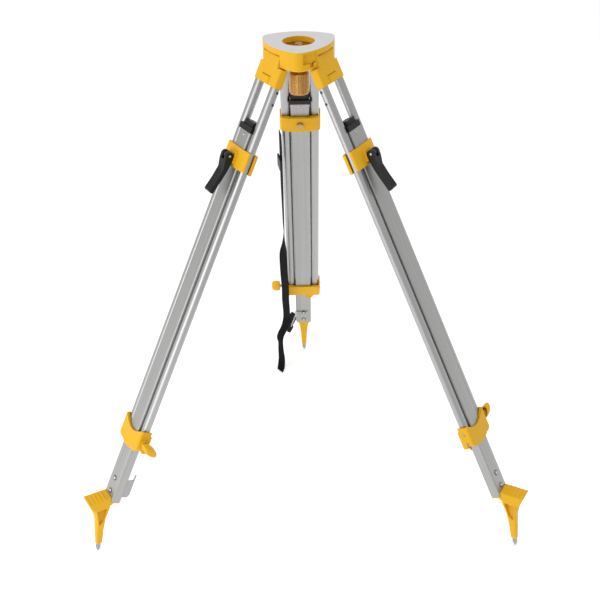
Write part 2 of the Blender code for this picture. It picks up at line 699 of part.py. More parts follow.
# The strap's centre line down to the buckle, in leg space: (x, y, station, twist in degrees), where
# twist 0 has the strap's width along X and 90 has it along Y.
STRAP_ROUTE = (
    (-0.0150, 0.0440, 0.2620, 14), (-0.0195, 0.0436, 0.300, 16), (-0.0250, 0.0436, 0.350, 16),
    (-0.0320, 0.0438, 0.420, 16), (-0.0370, 0.0438, 0.490, 12), (-0.0400, 0.0438, 0.560, 8),
    (-0.0415, 0.0435, 0.598, 4), (-0.0425, 0.0445, 0.640, 30), (-0.0430, 0.0475, 0.673, 68),
    (-0.0415, 0.0480, 0.715, 76), (-0.0395, 0.0475, 0.780, 74), (-0.0370, 0.0462, 0.835, 72),
    (-0.0350, 0.0470, 0.890, 74), (-0.0330, 0.0462, 0.930, 72), (-0.0320, 0.0458, 0.960, 70),
)
# From there the loose end falls to the floor: (y, distance from the head's axis, height, twist).
TAIL_ROUTE = (
    (0.0465, 0.4430, 0.1640, 68), (0.0500, 0.4425, 0.1450, 66), (0.0555, 0.4425, 0.1280, 62),
    (0.0625, 0.4450, 0.1110, 62), (0.0662, 0.4480, 0.0950, 60), (0.0650, 0.4480, 0.0780, 40),
    (0.0645, 0.4470, 0.0550, 48), (0.0630, 0.4460, 0.0310, 60), (0.0640, 0.4440, 0.0130, 76),
    (0.0655, 0.4385, 0.0032, 90), (0.0670, 0.4310, 0.0016, 90), (0.0685, 0.4255, 0.0016, 90),
)
# The buckle's outline in its upright plane: (y, height).
CLIP_OUTLINE = (
    (0.0373, 0.1690), (0.0314, 0.1755), (0.0249, 0.1702), (0.0200, 0.1640), (0.0200, 0.1577),
    (0.0244, 0.1442), (0.0304, 0.1329), (0.0285, 0.1271), (0.0375, 0.1089), (0.0470, 0.1130),
    (0.0440, 0.1300), (0.0440, 0.1500), (0.0420, 0.1650),
)


def smooth_route(points, steps):
    """Catmull-Rom points through a list of tuples of any length."""
    padded = [points[0], *points, points[-1]]
    route = []
    for index in range(1, len(padded) - 2):
        before, start, end, after = padded[index - 1:index + 3]
        for step in range(steps):
            t = step / steps
            route.append(tuple(
                0.5 * (2 * b + (c - a) * t + (2 * a - 5 * b + 4 * c - d) * t ** 2
                       + (3 * b - a - 3 * c + d) * t ** 3)
                for a, b, c, d in zip(before, start, end, after)))
    route.append(tuple(points[-1]))
    return route


def ribbon(points, widths):
    """The strap as a flat band through points, with a width direction at each and a slanted cut end."""
    steps = [(after - before).length for before, after in zip(points, points[1:])]
    rings = []
    for index, point in enumerate(points):
        before = points[max(index - 1, 0)]
        after = points[min(index + 1, len(points) - 1)]
        ahead = (after - before).normalized()
        across = (widths[index] - ahead * widths[index].dot(ahead)).normalized()
        normal = across.cross(ahead)
        slant = STRAP_SLANT * max(0.0, 1.0 - sum(steps[index:]) / SLANT_LENGTH)
        ring = []
        for u, v in ((-1, -1), (1, -1), (1, 1), (-1, 1)):
            side = across * (u * STRAP_WIDTH / 2) - ahead * (u * slant)
            ring.append(point + side + normal * (v * STRAP_THICKNESS / 2))
        rings.append(ring)
    return loft(rings)


def strap():
    """One band from the quick clamp to the floor: the route beside the leg, then the loose end."""
    route = smooth_route(STRAP_ROUTE, 2)
    for y, radial, height, twist in smooth_route(TAIL_ROUTE, 2):
        x, station = leg_point(radial, height)
        route.append((x, y, station, twist))
    points = [Vector((x, y, -station)) for x, y, station, twist in route]
    angles = [math.radians(twist) for x, y, station, twist in route]
    widths = [Vector((math.cos(angle), math.sin(angle), 0)) for angle in angles]
    return to_mesh("strap", ribbon(points, widths))


def strap_slider():
    """Plastic adjuster on the strap's outer side, which closes its upper loop."""
    x, y, station, twist = STRAP_ROUTE[2]
    turn = Matrix.Rotation(math.radians(twist), 2)
    corners = [turn @ Vector(corner) for corner in ((-0.012, 0.0018), (0.012, 0.0018), (0.012, 0.0060),
                                                    (-0.012, 0.0060))]
    outline = [(x + corner.x, y + corner.y) for corner in corners]
    return to_mesh("strap_slider", along_leg(outline, station - 0.019, station + 0.019))


def upright_plate(outline, radial, thickness):
    """A plate in an upright plane across the leg, from (y, height) points."""
    rings = []
    for distance in (radial - thickness / 2, radial + thickness / 2):
        ring = []
        for y, height in outline:
            x, station = leg_point(distance, height)
            ring.append((x, y, -station))
        rings.append(ring)
    return loft(rings)


def strap_clip():
    """Plastic buckle at the strap's lower end, with an arm that reaches to the leg's edge."""
    return to_mesh("strap_clip", upright_plate(CLIP_OUTLINE, CLIP_RADIAL + 0.0055, CLIP_THICKNESS))


def strap_ring():
    """Bracket on the leg's inner face with a wire loop, seen edge-on beside the buckle's arm."""
    face = -(INNER_HALF_DEPTH + GAP)
    plate = box((face - 0.0015, -0.0120, -1.0300), (face, 0.0235, -0.9850))
    ear = box((-0.0270, 0.0193, -0.9900), (face, 0.0215, -0.9760))
    corners = []
    for y, radial, height in ((0.0205, 0.4480, 0.1740), (0.0205, 0.4400, 0.1760), (0.0345, 0.4400, 0.1370),
                              (0.0345, 0.4480, 0.1350)):
        x, station = leg_point(radial, height)
        corners.append(Vector((x, y, -station)))
    sides = [rod(0.0011, start, end, 8) for start, end in zip(corners, corners[1:] + corners[:1])]
    return carve("strap_ring", plate, add=[ear, *sides])


# ---------------------------------------------------------------- assembly

UPPER_PIECES = (
    ("leg_cap", leg_cap, "yellow_paint"), ("lower_clamp", lower_clamp, "yellow_paint"),
)
INNER_PIECES = (
    ("inner_leg", inner_leg, "aluminium"), ("guide_block", guide_block, "black_plastic"),
    ("clamp_jaw_outer", clamp_jaw_outer, "yellow_paint"),
    ("clamp_jaw_inner", clamp_jaw_inner, "yellow_paint"), ("clamp_bolt", clamp_bolt, "steel"),
    ("lever_pin", lever_pin, "steel"), ("foot", foot, "yellow_paint"), ("foot_point", foot_point, "steel"),
)


def build_head(axis):
    top = (0, 0, HEAD_TOP)
    place("tripod_head", tripod_head(), "yellow_paint", axis, top)
    angle = math.radians(ARM_AZIMUTH)
    pivot = make_empty("arm_pivot_axis", axis, (ARM_PIVOT * math.cos(angle), ARM_PIVOT * math.sin(angle),
                                                HEAD_TOP), (0, 0, angle))
    place("arm_pivot_screw", to_mesh("arm_pivot_screw", arm_pivot_screw()), "steel", pivot)
    place("swing_arm", swing_arm(), "steel", pivot)
    screw_axis = make_empty("fixing_screw_axis", pivot, (-ARM_PIVOT, 0, 0))
    place("screw_bush", screw_bush(), "steel", screw_axis)
    place("fixing_stud", fixing_stud(), "steel", screw_axis)
    place("fixing_knob", fixing_knob(), "brass", screw_axis)


def build_leg(axis, name, azimuth, meshes):
    angle = math.radians(azimuth)
    spot = (PIN_RADIAL * math.cos(angle), PIN_RADIAL * math.sin(angle), HEAD_TOP - PIN_DROP)
    place_pin = make_empty(f"pin_place_{name}", axis, spot, (0, 0, angle))
    place(f"hinge_pin_{name}", meshes["hinge_pin"], "steel", place_pin)
    hinge = make_empty(f"leg_hinge_{name}", axis, spot, (0, -LEG_TILT, angle))
    origin = (-PIN_X, 0, PIN_STATION)
    place(f"rail_left_{name}", meshes["rail_left"], "aluminium", hinge, origin)
    place(f"rail_right_{name}", meshes["rail_right"], "aluminium", hinge, origin)
    for piece, maker, material in UPPER_PIECES + INNER_PIECES:
        place(f"{piece}_{name}", meshes[piece], material, hinge, origin)
    lever_axis = make_empty(f"lever_axis_{name}", hinge,
                            (LEVER_AXIS - PIN_X, 0, PIN_STATION - BOLT_STATION))
    place(f"clamp_lever_{name}", meshes["clamp_lever"], "black_plastic", lever_axis)
    wing_axis = make_empty(f"wing_axis_{name}", hinge, (-PIN_X, 0, PIN_STATION - WING_STATION),
                           (0, WING_REST[name], 0))
    place(f"wing_stud_{name}", meshes["wing_stud"], "steel", wing_axis)
    place(f"wing_knob_{name}", meshes["wing_knob"], "yellow_paint", wing_axis)
    return hinge, origin


def set_origin(axis):
    """Moves the tripod so that the bottom centre of its box is the origin."""
    bpy.context.view_layer.update()
    corners = []
    for item in bpy.data.objects:
        if item.type == "MESH":
            corners += [item.matrix_world @ vertex.co for vertex in item.data.vertices]
    low = [min(corner[index] for corner in corners) for index in range(3)]
    high = [max(corner[index] for corner in corners) for index in range(3)]
    axis.location = (-(low[0] + high[0]) / 2, -(low[1] + high[1]) / 2, -low[2])
    bpy.context.view_layer.update()


def main():
    clear_scene()
    axis = make_empty("tripod_axis")
    build_head(axis)
    meshes = {piece: maker() for piece, maker, material in UPPER_PIECES + INNER_PIECES}
    meshes["hinge_pin"] = hinge_pin()
    meshes["rail_left"] = rail(-1)
    meshes["rail_right"] = rail(1)
    meshes["clamp_lever"] = clamp_lever()
    meshes["wing_stud"] = wing_stud()
    meshes["wing_knob"] = wing_knob()
    hinges = {}
    for name, azimuth in LEG_AZIMUTHS.items():
        hinges[name] = build_leg(axis, name, azimuth, meshes)
    hinge, origin = hinges["left"]
    place("transport_hook", transport_hook(), "steel", hinge, origin)
    hinge, origin = hinges["back"]
    place("strap", strap(), "webbing", hinge, origin)
    place("strap_slider", strap_slider(), "black_plastic", hinge, origin)
    place("strap_clip", strap_clip(), "black_plastic", hinge, origin)
    place("strap_ring", strap_ring(), "steel", hinge, origin)
    set_origin(axis)


main()
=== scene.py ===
"""Looks of an aluminium surveyor's tripod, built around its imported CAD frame.

Every leg piece is drawn in leg space: X points out of the leg's outer face, Y points along its hinge
and Z points up the leg. A station s along the leg lies at z = -s, measured down from the head's top.
"""
import json
import math

import bmesh
import bpy
from mathutils import Matrix, Vector


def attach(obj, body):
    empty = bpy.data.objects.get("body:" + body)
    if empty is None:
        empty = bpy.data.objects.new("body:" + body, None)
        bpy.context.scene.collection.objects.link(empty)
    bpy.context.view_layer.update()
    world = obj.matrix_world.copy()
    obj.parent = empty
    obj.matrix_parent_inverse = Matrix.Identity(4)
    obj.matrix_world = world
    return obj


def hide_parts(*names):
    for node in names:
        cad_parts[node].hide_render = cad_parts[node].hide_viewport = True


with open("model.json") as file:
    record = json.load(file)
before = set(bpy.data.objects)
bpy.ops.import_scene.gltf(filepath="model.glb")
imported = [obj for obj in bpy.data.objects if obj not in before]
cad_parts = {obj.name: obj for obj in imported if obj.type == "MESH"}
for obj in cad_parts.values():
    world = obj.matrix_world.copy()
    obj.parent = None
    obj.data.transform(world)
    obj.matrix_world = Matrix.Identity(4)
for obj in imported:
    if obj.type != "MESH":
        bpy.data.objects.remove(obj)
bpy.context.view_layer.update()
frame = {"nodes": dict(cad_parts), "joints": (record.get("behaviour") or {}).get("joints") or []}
JOINTS = {joint["name"]: joint for joint in frame["joints"]}
LEGS = ("back", "left", "right")

# Camera: its place in metres from the foot of the head's vertical axis, and its angles in degrees
CAMERA_PLACE = (0.0072, -2.0184, 1.6820)
CAMERA_PAN = 0.38
CAMERA_PITCH = 30.71
CAMERA_ROLL = 1.03
CAMERA_LENS = 63.39

# Driving dimensions shared with the CAD model
LEG_START = 0.0355
PIN_RADIAL = 0.051
PIN_DROP = 0.024
TIP_RADIAL = 0.539
LEG_HALF = 0.0406
INNER_HALF_DEPTH = 0.01125
GAP = 0.0003
WING_REST = {"back": 0.0, "left": math.radians(60), "right": math.radians(30)}
WING_STUD_START = 0.0206
WING_STUD_LENGTH = 0.0394
CLAMP_HALF = 0.0442          # half the width of the lower clamp
CLAMP_END = 0.900
CAP_FACE = 0.0095            # the leg cap's outer face
RAIL_SCREW_STATIONS = (0.0885, 0.113)
CLAMP_RIVET_STATIONS = (0.866, 0.887)
GUIDE_SCREW_STATION = 0.189
RIVET_STATIONS = (0.990, 1.022)
COLLAR_TOP = 0.0505
COLLAR_BOTTOM = 0.0570
COLLAR_RADIUS = 0.0180
KNOB_TOP = 0.0574
KNOB_BOTTOM = 0.105
KNOB_RADIUS = 0.0208
KNOB_FLUTES = 12
NECK_RADIUS = 0.006
THREAD_RADIUS = 0.00794
THREAD_PITCH = 0.00231       # 11 threads to the inch
THREAD_DEPTH = 0.00125
THREAD_TOP = 0.004
THREAD_BOTTOM = 0.0352
STRAP_WIDTH = 0.020
STRAP_THICKNESS = 0.0016
STRAP_SLANT = 0.008          # half the slant of its cut end
SLANT_LENGTH = 0.0150


# ---------------------------------------------------------------- frames

SCREW_TOP = Vector(JOINTS["screw_spin"]["pos_m"])
HEAD_FRAME = Matrix.Translation(SCREW_TOP)
LEG_TILT = math.acos(-JOINTS["leg_slide_back"]["axis"][2])
HEAD_TOP = SCREW_TOP.z


def leg_point(radial, height):
    """Leg coordinates (x, station) of a point in the leg's own vertical plane at rest."""
    out = radial - LEG_START
    down = HEAD_TOP - height
    x = out * math.cos(LEG_TILT) - down * math.sin(LEG_TILT)
    station = out * math.sin(LEG_TILT) + down * math.cos(LEG_TILT)
    return x, station


PIN_X, PIN_STATION = leg_point(PIN_RADIAL, HEAD_TOP - PIN_DROP)


def leg_turn(name):
    along = Vector(JOINTS[f"leg_hinge_{name}"]["axis"])
    up = -Vector(JOINTS[f"leg_slide_{name}"]["axis"])
    return Matrix((along.cross(up), along, up)).transposed()


def leg_frame(name):
    turn = leg_turn(name)
    pin = Vector(JOINTS[f"leg_hinge_{name}"]["pos_m"])
    return Matrix.Translation(pin - turn @ Vector((PIN_X, 0, -PIN_STATION))) @ turn.to_4x4()


def joint_frame(joint, name, twist=0.0):
    """Leg space moved to a joint's axis, and turned about it."""
    spot = Vector(JOINTS[f"{joint}_{name}"]["pos_m"])
    return Matrix.Translation(spot) @ leg_turn(name).to_4x4() @ Matrix.Rotation(twist, 4, "Y")


LEG_FRAMES = {name: leg_frame(name) for name in LEGS}
LEVER_FRAMES = {name: joint_frame("clamp_lever_swing", name) for name in LEGS}
WING_FRAMES = {name: joint_frame("wing_turn", name, WING_REST[name]) for name in LEGS}


# ---------------------------------------------------------------- mesh helpers

def loft(rings, closed=False):
    """A skin through rings of equally many points, capped at both ends or closed on itself."""
    bm = bmesh.new()
    rows = [[bm.verts.new(point) for point in ring] for ring in rings]
    pairs = list(zip(rows, rows[1:]))
    if closed:
        pairs.append((rows[-1], rows[0]))
    for low, high in pairs:
        for index in range(len(low)):
            after = (index + 1) % len(low)
            bm.faces.new((low[index], low[after], high[after], high[index]))
    if not closed:
        bm.faces.new(rows[0])
        bm.faces.new(rows[-1])
    bmesh.ops.recalc_face_normals(bm, faces=bm.faces)
    return bm


def across_leg(outline, low, high):
    """Extrudes an outline of (x, station) points along the hinge's direction."""
    return loft([[(x, side, -station) for x, station in outline] for side in (low, high)])


def through_leg(outline, low, high):
    """Extrudes an outline of (y, station) points along the leg's depth."""
    return loft([[(x, y, -station) for y, station in outline] for x in (low, high)])


def box(low, high):
    corners = [(low[0], low[1]), (high[0], low[1]), (high[0], high[1]), (low[0], high[1])]
    return loft([[(x, y, z) for x, y in corners] for z in (low[2], high[2])])


def rod(radius, start, end, segments=32, end_radius=None):
    """A cylinder or a cone between two points."""
    start = Vector(start)
    direction = Vector(end) - start
    turn = direction.to_track_quat("Z", "Y").to_matrix().to_4x4()
    bm = bmesh.new()
    bmesh.ops.create_cone(bm, cap_ends=True, segments=segments, radius1=radius,
                          radius2=radius if end_radius is None else end_radius,
                          depth=direction.length, matrix=Matrix.Translation(start + direction / 2) @ turn)
    return bm


def turned(profile, start=(0, 0, 0), direction=(0, 0, 1), segments=32):
    """Turns (radius, distance) points about an axis through start."""
    rings = []
    for radius, distance in profile:
        turn = [math.tau * index / segments for index in range(segments)]
        rings.append([(radius * math.cos(a), radius * math.sin(a), distance) for a in turn])
    bm = loft(rings)
    matrix = Vector(direction).to_track_quat("Z", "Y").to_matrix().to_4x4()
    bmesh.ops.transform(bm, matrix=Matrix.Translation(start) @ matrix, verts=bm.verts)
    return bm


def to_mesh(name, bm):
    mesh = bpy.data.meshes.new(name)
    bm.to_mesh(mesh)
    bm.free()
    return mesh


def from_mesh(mesh):
    bm = bmesh.new()
    bm.from_mesh(mesh)
    bpy.data.meshes.remove(mesh)
    return bm


def carve(base, add=(), cut=()):
    """Adds and cuts solids with exact Booleans."""
    base_object = bpy.data.objects.new("carve_base", to_mesh("carve_base", base))
    bpy.context.scene.collection.objects.link(base_object)
    tools = []
    for operation, solids in (("UNION", add), ("DIFFERENCE", cut)):
        for solid in solids:
            tool = bpy.data.objects.new("carve_tool", to_mesh("carve_tool", solid))
            bpy.context.scene.collection.objects.link(tool)
            modifier = base_object.modifiers.new(operation, "BOOLEAN")
            modifier.operation = operation
            modifier.object = tool
            tools.append(tool)
    graph = bpy.context.evaluated_depsgraph_get()
    mesh = bpy.data.meshes.new_from_object(base_object.evaluated_get(graph))
    for item in tools + [base_object]:
        bpy.data.objects.remove(item, do_unlink=True)
    return from_mesh(mesh)


def merge(solids):
    """One bmesh that holds several separate solids."""
    whole = bmesh.new()
    for solid in solids:
        mesh = to_mesh("part", solid)
        whole.from_mesh(mesh)
        bpy.data.meshes.remove(mesh)
    return whole


def cad_copy(node, space):
    """A CAD node's mesh in a local space, with its triangles joined into flat faces."""
    bm = bmesh.new()
    bm.from_mesh(frame["nodes"][node].data)
    bmesh.ops.transform(bm, matrix=space.inverted(), verts=bm.verts)
    bmesh.ops.remove_doubles(bm, verts=bm.verts, dist=1e-5)
    bmesh.ops.dissolve_limit(bm, angle_limit=math.radians(0.5), verts=bm.verts, edges=bm.edges)
    return bm


def soften(bm, width, segments=2, angle=28):
    """Rounds every edge that is sharper than an angle."""
    bmesh.ops.remove_doubles(bm, verts=bm.verts, dist=2e-5)
    bmesh.ops.dissolve_limit(bm, angle_limit=math.radians(0.5), verts=bm.verts, edges=bm.edges)
    sharp = [edge for edge in bm.edges
             if len(edge.link_faces) == 2 and edge.calc_face_angle(0) > math.radians(angle)]
    bmesh.ops.bevel(bm, geom=sharp, offset=width, offset_type="OFFSET", segments=segments,
                    profile=0.5, affect="EDGES", clamp_overlap=True)
    return bm


def remeshed(bm, voxel, smoothing):
    """A cast or moulded skin: the solid's union as small even faces, with all its corners filleted."""
    item = bpy.data.objects.new("remesh", to_mesh("remesh", bm))
    bpy.context.scene.collection.objects.link(item)
    modifier = item.modifiers.new("voxels", "REMESH")
    modifier.mode = "VOXEL"
    modifier.voxel_size = voxel
    smooth = item.modifiers.new("fillets", "SMOOTH")
    smooth.factor = 0.5
    smooth.iterations = smoothing
    graph = bpy.context.evaluated_depsgraph_get()
    mesh = bpy.data.meshes.new_from_object(item.evaluated_get(graph))
    bpy.data.objects.remove(item, do_unlink=True)
    return from_mesh(mesh)


def shaded(name, bm, materials, sharp=40):
    mesh = to_mesh(name, bm)
    for material in materials:
        mesh.materials.append(material)
    mesh.shade_smooth()
    mesh.set_sharp_from_angle(angle=math.radians(sharp))
    return mesh


def place(name, mesh, space, body, replaces=()):
    """A visible piece that rides on a body and may stand for CAD nodes.

    The mesh is copied from its own space into the world, and its materials read the old coordinates
    from the point attribute "local".
    """
    moved = mesh.copy()
    coordinates = [0.0] * (3 * len(moved.vertices))
    moved.vertices.foreach_get("co", coordinates)
    moved.attributes.new("local", "FLOAT_VECTOR", "POINT").data.foreach_set("vector", coordinates)
    moved.transform(space)
    piece = bpy.data.objects.new(name, moved)
    bpy.context.scene.collection.objects.link(piece)
    normals = piece.modifiers.new("even_shading", "WEIGHTED_NORMAL")
    normals.keep_sharp = True
    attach(piece, body)
    if replaces:
        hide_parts(*replaces)
    return piece


# ---------------------------------------------------------------- materials

class Finish:
    """A Principled material with helpers that wire procedural detail in a piece's own metres."""

    def __init__(self, name, colour, metallic, roughness):
        self.material = bpy.data.materials.new(name)
        self.material.use_nodes = True
        self.tree = self.material.node_tree
        self.shader = self.tree.nodes["Principled BSDF"]
        self.shader.inputs["Base Color"].default_value = (*colour, 1.0)
        self.shader.inputs["Metallic"].default_value = metallic
        self.shader.inputs["Roughness"].default_value = roughness
        self.height = None

    def node(self, kind, **settings):
        item = self.tree.nodes.new(kind)
        for name, value in settings.items():
            setattr(item, name, value)
        return item

    def link(self, output, target):
        self.tree.links.new(output, target)

    def coordinates(self, scale=(1, 1, 1)):
        """The piece's own coordinates, stretched along its axes."""
        source = self.node("ShaderNodeAttribute", attribute_name="local")
        mapping = self.node("ShaderNodeMapping")
        mapping.inputs["Scale"].default_value = scale
        self.link(source.outputs["Vector"], mapping.inputs["Vector"])
        return mapping.outputs["Vector"]

    def noise(self, scale, detail=3.0, stretch=(1, 1, 1), rough=0.5):
        item = self.node("ShaderNodeTexNoise")
        item.inputs["Scale"].default_value = scale
        item.inputs["Detail"].default_value = detail
        item.inputs["Roughness"].default_value = rough
        self.link(self.coordinates(stretch), item.inputs["Vector"])
        return item.outputs["Fac"]

    def ramp(self, value, low, high, low_value, high_value):
        """Maps a value's range to another, with both ends held."""
        item = self.node("ShaderNodeMapRange")
        item.inputs["From Min"].default_value = low
        item.inputs["From Max"].default_value = high
        item.inputs["To Min"].default_value = low_value
        item.inputs["To Max"].default_value = high_value
        self.link(value, item.inputs["Value"])
        return item.outputs["Result"]

    def colour_between(self, factor, low, high):
        item = self.node("ShaderNodeMix", data_type="RGBA")
        item.inputs["A"].default_value = (*low, 1.0)
        item.inputs["B"].default_value = (*high, 1.0)
        self.link(factor, item.inputs["Factor"])
        return item.outputs["Result"]

    def mixed_colour(self, factor, first, high):
        """A wired colour that turns into a fixed one as the factor rises."""
        item = self.node("ShaderNodeMix", data_type="RGBA")
        self.link(first, item.inputs["A"])
        item.inputs["B"].default_value = (*high, 1.0)
        self.link(factor, item.inputs["Factor"])
        return item.outputs["Result"]

    def set_colour(self, value):
        self.link(value, self.shader.inputs["Base Color"])

    def set_roughness(self, value):
        self.link(value, self.shader.inputs["Roughness"])

    def bump(self, value, distance, strength=1.0):
        item = self.node("ShaderNodeBump")
        item.inputs["Distance"].default_value = distance
        item.inputs["Strength"].default_value = strength
        self.link(value, item.inputs["Height"])
        if self.height is not None:
            self.link(self.height, item.inputs["Normal"])
        self.height = item.outputs["Normal"]
        self.link(self.height, self.shader.inputs["Normal"])


def edge_wear(finish, radius, amount):
    """A factor that is high along worn outer edges, broken up by noise."""
    bevel = finish.node("ShaderNodeBevel", samples=4)
    bevel.inputs["Radius"].default_value = radius
    geometry = finish.node("ShaderNodeNewGeometry")
    dot = finish.node("ShaderNodeVectorMath", operation="DOT_PRODUCT")
    finish.link(bevel.outputs["Normal"], dot.inputs[0])
    finish.link(geometry.outputs["True Normal"], dot.inputs[1])
    edge = finish.ramp(dot.outputs["Value"], 0.97, 0.86, 0.0, 1.0)
    patch = finish.ramp(finish.noise(160.0, 4.0), 0.56, 0.66, 0.0, amount)
    both = finish.node("ShaderNodeMath", operation="MULTIPLY")
    finish.link(edge, both.inputs[0])
    finish.link(patch, both.inputs[1])
    return both.outputs["Value"]


def yellow_paint():
    """Powder coat on die castings: orange peel, slight colour drift and chipped edges."""
    finish = Finish("yellow_powder_coat", (0.76, 0.42, 0.013), 0.0, 0.40)
    drift = finish.colour_between(finish.noise(22.0, 3.0), (0.74, 0.40, 0.011), (0.79, 0.44, 0.016))
    finish.set_colour(finish.mixed_colour(edge_wear(finish, 0.0007, 0.45), drift, (0.55, 0.30, 0.08)))
    finish.set_roughness(finish.ramp(finish.noise(65.0, 4.0), 0.3, 0.7, 0.34, 0.48))
    finish.bump(finish.noise(620.0, 2.0), 0.00012, 0.5)
    finish.bump(finish.noise(90.0, 2.0), 0.0004, 0.18)
    finish.shader.inputs["Specular IOR Level"].default_value = 0.14
    return finish.material


def drawn_aluminium(name, low, high, roughness):
    """Anodised extrusion: fine die lines along the leg and faint handling marks."""
    finish = Finish(name, high, 1.0, roughness)
    lines = finish.noise(1.0, 5.0, (1500.0, 1500.0, 2.2), 0.65)
    broad = finish.noise(1.0, 3.0, (160.0, 160.0, 1.6))
    finish.set_colour(finish.colour_between(finish.ramp(broad, 0.3, 0.7, 0.0, 1.0), low, high))
    finish.set_roughness(finish.ramp(lines, 0.25, 0.75, roughness - 0.07, roughness + 0.09))
    finish.bump(lines, 0.00006, 0.45)
    finish.bump(finish.noise(14.0, 2.0), 0.0006, 0.05)
    return finish.material


def machined_aluminium():
    """The head's faced top: fine concentric turning marks."""
    finish = Finish("machined_head_top", (0.82, 0.82, 0.83), 1.0, 0.34)
    rings = finish.node("ShaderNodeTexWave", wave_type="RINGS", rings_direction="Z")
    rings.inputs["Scale"].default_value = 420.0
    rings.inputs["Distortion"].default_value = 0.6
    finish.link(finish.coordinates(), rings.inputs["Vector"])
    finish.set_roughness(finish.ramp(finish.noise(40.0, 4.0), 0.3, 0.7, 0.28, 0.42))
    finish.bump(rings.outputs["Fac"], 0.00005, 0.35)
    return finish.material


def plated_steel(name, colour, roughness):
    finish = Finish(name, colour, 1.0, roughness)
    dark = tuple(0.8 * value for value in colour)
    finish.set_colour(finish.colour_between(finish.noise(240.0, 4.0), dark, colour))
    finish.set_roughness(finish.ramp(finish.noise(500.0, 3.0), 0.3, 0.7, roughness - 0.06, roughness + 0.10))
    finish.bump(finish.noise(1300.0, 2.0), 0.00004, 0.4)
    return finish.material


def turned_brass():
    finish = Finish("turned_brass", (0.52, 0.27, 0.08), 1.0, 0.28)
    stain = finish.ramp(finish.noise(40.0, 3.0), 0.35, 0.7, 0.0, 1.0)
    finish.set_colour(finish.colour_between(stain, (0.56, 0.30, 0.09), (0.46, 0.23, 0.06)))
    finish.set_roughness(finish.ramp(finish.noise(120.0, 4.0), 0.3, 0.7, 0.22, 0.40))
    finish.bump(finish.noise(1.0, 3.0, (260.0, 260.0, 2600.0)), 0.00005, 0.5)
    return finish.material


def moulded_plastic():
    """Glass-filled black plastic with a fine spark-eroded grain."""
    finish = Finish("black_moulded_plastic", (0.010, 0.010, 0.011), 0.0, 0.42)
    finish.set_colour(finish.colour_between(finish.noise(45.0, 3.0), (0.007, 0.007, 0.008),
                                            (0.014, 0.014, 0.014)))
    finish.shader.inputs["Specular IOR Level"].default_value = 0.24
    finish.set_roughness(finish.ramp(finish.noise(150.0, 4.0), 0.3, 0.7, 0.34, 0.52))
    finish.bump(finish.noise(1700.0, 2.0), 0.00008, 0.6)
    return finish.material


WAVE_PERIOD = 0.314          # distance between a wave texture's bands at scale 1


def webbing():
    """Woven black tape: ribs across, twill lines along and fuzz, from the strap's own (u, v) metres."""
    finish = Finish("black_webbing", (0.008, 0.008, 0.009), 0.0, 0.85)
    place_on = finish.node("ShaderNodeAttribute", attribute_name="weave")
    waves = []
    for direction, pitch in (("X", 0.00125), ("Y", 0.00105)):
        wave = finish.node("ShaderNodeTexWave", wave_type="BANDS", bands_direction=direction)
        wave.inputs["Scale"].default_value = WAVE_PERIOD / pitch
        wave.inputs["Distortion"].default_value = 0.5
        wave.inputs["Detail Scale"].default_value = 2.0
        finish.link(place_on.outputs["Vector"], wave.inputs["Vector"])
        waves.append(wave.outputs["Fac"])
    weave = finish.node("ShaderNodeMath", operation="MULTIPLY")
    finish.link(waves[0], weave.inputs[0])
    finish.link(waves[1], weave.inputs[1])
    finish.set_colour(finish.colour_between(weave.outputs["Value"], (0.004, 0.004, 0.0045),
                                            (0.016, 0.016, 0.017)))
    finish.bump(weave.outputs["Value"], 0.00035, 0.9)
    finish.bump(finish.noise(2400.0, 2.0), 0.0001, 0.5)
    finish.shader.inputs["Specular IOR Level"].default_value = 0.14
    return finish.material


YELLOW = yellow_paint()
RAIL_METAL = drawn_aluminium("bright_anodised_rail", (0.42, 0.42, 0.42), (0.47, 0.47, 0.47), 0.38)
INNER_METAL = drawn_aluminium("grey_anodised_inner_leg", (0.40, 0.40, 0.395), (0.45, 0.45, 0.44), 0.44)
MACHINED = machined_aluminium()
ZINC = plated_steel("bright_zinc_steel", (0.42, 0.42, 0.42), 0.28)
CHROME = plated_steel("chromed_steel", (0.62, 0.62, 0.63), 0.12)
# Painted shade: a dark steel colour that stands for the shaded recess around each rivet
RIVET_RECESS_SHADE = plated_steel("painted_recess_shade", (0.16, 0.16, 0.16), 0.40)
PASSIVATED = plated_steel("yellow_passivated_steel", (0.55, 0.36, 0.22), 0.30)
BLACK_STEEL = plated_steel("blackened_screw", (0.10, 0.10, 0.11), 0.34)
BRASS = turned_brass()
PLASTIC = moulded_plastic()
WEBBING = webbing()


# ---------------------------------------------------------------- head

def tripod_head():
    """The head casting: painted sides and lugs, a faced top, and the pockets in its front nose."""
    nose_turn = Matrix.Rotation(math.radians(30), 3, "Z")
    pocket = box((0.0085, -0.0850, -0.0245), (0.0400, -0.0705, -0.0050))
    notch = box((0.0240, -0.0850, -0.0320), (0.0330, -0.0690, -0.0240))
    cuts = []
    for solid in (pocket, notch):
        bmesh.ops.rotate(solid, verts=solid.verts, cent=(0.0105, -0.0765, 0), matrix=nose_turn)
        cuts.append(solid)
    body = soften(carve(cad_copy("tripod_head", HEAD_FRAME), cut=cuts), 0.0009)
    for face in body.faces:
        if face.normal.z > 0.99 and face.calc_center_median().z > -0.0002:
            face.material_index = 1
    mesh = shaded("tripod_head_finished", body, (YELLOW, MACHINED))
    place("tripod_head_finished", mesh, HEAD_FRAME, "head", ["tripod_head"])


def hinge_pins():
    for name in LEGS:
        space = joint_frame("leg_hinge", name)
        body = soften(cad_copy(f"hinge_pin_{name}", space), 0.0005)
        mesh = shaded(f"hinge_pin_{name}_finished", body, (ZINC,))
        place(f"hinge_pin_{name}_finished", mesh, space, "head", [f"hinge_pin_{name}"])


